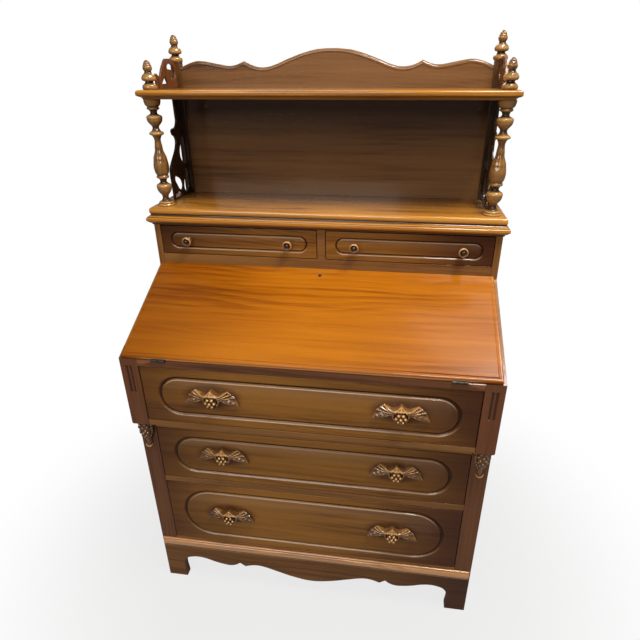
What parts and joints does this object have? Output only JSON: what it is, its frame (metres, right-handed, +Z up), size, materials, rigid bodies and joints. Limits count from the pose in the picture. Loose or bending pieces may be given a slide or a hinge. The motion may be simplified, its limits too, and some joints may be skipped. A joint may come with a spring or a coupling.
{
  "type": "drop-front desk",
  "caption": "Walnut drop-front writing desk: sloping fall lid on stays, long drawers with carved grape pulls, small upper drawers, and a shelf gallery with turned posts and pierced frets.",
  "frame": {"origin": "on the floor, at the centre of the closed desk's bounding box seen from above", "axes": "+X to the desk's right as seen from the front, +Y from front to back, +Z up; metres"},
  "size_m": [0.866, 0.4921, 1.4],
  "materials": {
    "walnut": "satin walnut, medium brown",
    "walnut_lid": "satin walnut, figured orange brown",
    "walnut_dark": "satin walnut, dark reddish brown",
    "pine": "plain unfinished secondary wood",
    "steel": "worn bright steel"
  },
  "bodies": {
    "case": {"apron_front": "walnut", "base_moulding": "walnut_dark", "block_left": "walnut_dark", "block_right": "walnut_dark", "bottom_board": "walnut", "case_back": "pine", "corbel_left": "walnut_dark", "corbel_right": "walnut_dark", "desk_top": "walnut_dark", "front_finial_left": "walnut_dark", "front_finial_right": "walnut_dark", "front_post_left": "walnut_dark", "front_post_right": "walnut_dark", "gallery_back": "walnut_dark", "hinge_case_leaf_left": "steel", "hinge_case_leaf_right": "steel", "lower_fret_left": "walnut_dark", "lower_fret_right": "walnut_dark", "rail_1": "walnut", "rail_2": "walnut", "rear_post_left": "walnut_dark", "rear_post_right": "walnut_dark", "shelf": "walnut_dark", "side_left": "walnut", "side_right": "walnut", "small_drawer_deck": "walnut", "stay_guide_left": "steel", "stay_guide_right": "steel", "stile_left": "walnut_dark", "stile_right": "walnut_dark", "upper_fret_left": "walnut_dark", "upper_fret_right": "walnut_dark", "writing_bed": "walnut"},
    "lid": {"lid": "walnut_lid", "lock_case": "steel", "hinge_lid_leaf_left": "steel", "stay_bracket_left": "steel", "hinge_lid_leaf_right": "steel", "stay_bracket_right": "steel"},
    "lock_bolt": {"lock_bolt": "steel"},
    "stay_arm_left": {"stay_arm_left": "steel"},
    "stay_arm_right": {"stay_arm_right": "steel"},
    "drawer_1": {"drawer_1_front": "walnut", "drawer_1_box": "pine", "drawer_1_pull_left": "walnut_dark", "drawer_1_pull_right": "walnut_dark"},
    "drawer_2": {"drawer_2_front": "walnut", "drawer_2_box": "pine", "drawer_2_pull_left": "walnut_dark", "drawer_2_pull_right": "walnut_dark"},
    "drawer_3": {"drawer_3_front": "walnut", "drawer_3_box": "pine", "drawer_3_pull_left": "walnut_dark", "drawer_3_pull_right": "walnut_dark"},
    "small_drawer_left": {"small_drawer_left": "walnut", "small_knob_left_inner": "walnut_dark", "small_knob_left_outer": "walnut_dark"},
    "small_drawer_right": {"small_drawer_right": "walnut", "small_knob_right_inner": "walnut_dark", "small_knob_right_outer": "walnut_dark"}
  },
  "joints": [
    {"name": "lid_hinge", "type": "hinge", "parent": "case", "child": "lid", "pos_m": [0, -0.22535, 0.7455], "axis": [1, 0, 0], "range_deg": [0, 153.8]},
    {"name": "lock_bolt_slide", "type": "slide", "parent": "lid", "child": "lock_bolt", "axis": [0, 0.8978, 0.4403], "range_m": [0, 0.012]},
    {"name": "stay_left", "type": "hinge", "parent": "lid", "child": "stay_arm_left", "pos_m": [-0.39, -0.12795, 0.774], "axis": [1, 0, 0], "range_deg": [-156, 0]},
    {"name": "stay_right", "type": "hinge", "parent": "lid", "child": "stay_arm_right", "pos_m": [0.39, -0.12795, 0.774], "axis": [1, 0, 0], "range_deg": [-156, 0]},
    {"name": "drawer_1_slide", "type": "slide", "parent": "case", "child": "drawer_1", "axis": [0, -1, 0], "range_m": [0, 0.3]},
    {"name": "drawer_2_slide", "type": "slide", "parent": "case", "child": "drawer_2", "axis": [0, -1, 0], "range_m": [0, 0.3]},
    {"name": "drawer_3_slide", "type": "slide", "parent": "case", "child": "drawer_3", "axis": [0, -1, 0], "range_m": [0, 0.3]},
    {"name": "small_drawer_left_slide", "type": "slide", "parent": "case", "child": "small_drawer_left", "axis": [0, -1, 0], "range_m": [0, 0.14]},
    {"name": "small_drawer_right_slide", "type": "slide", "parent": "case", "child": "small_drawer_right", "axis": [0, -1, 0], "range_m": [0, 0.14]}
  ],
  "couplings": [
    {"joint": "stay_left", "follows": "lid_hinge", "ratio": -1.0117},
    {"joint": "stay_right", "follows": "lid_hinge", "ratio": -1.0117}
  ]
}
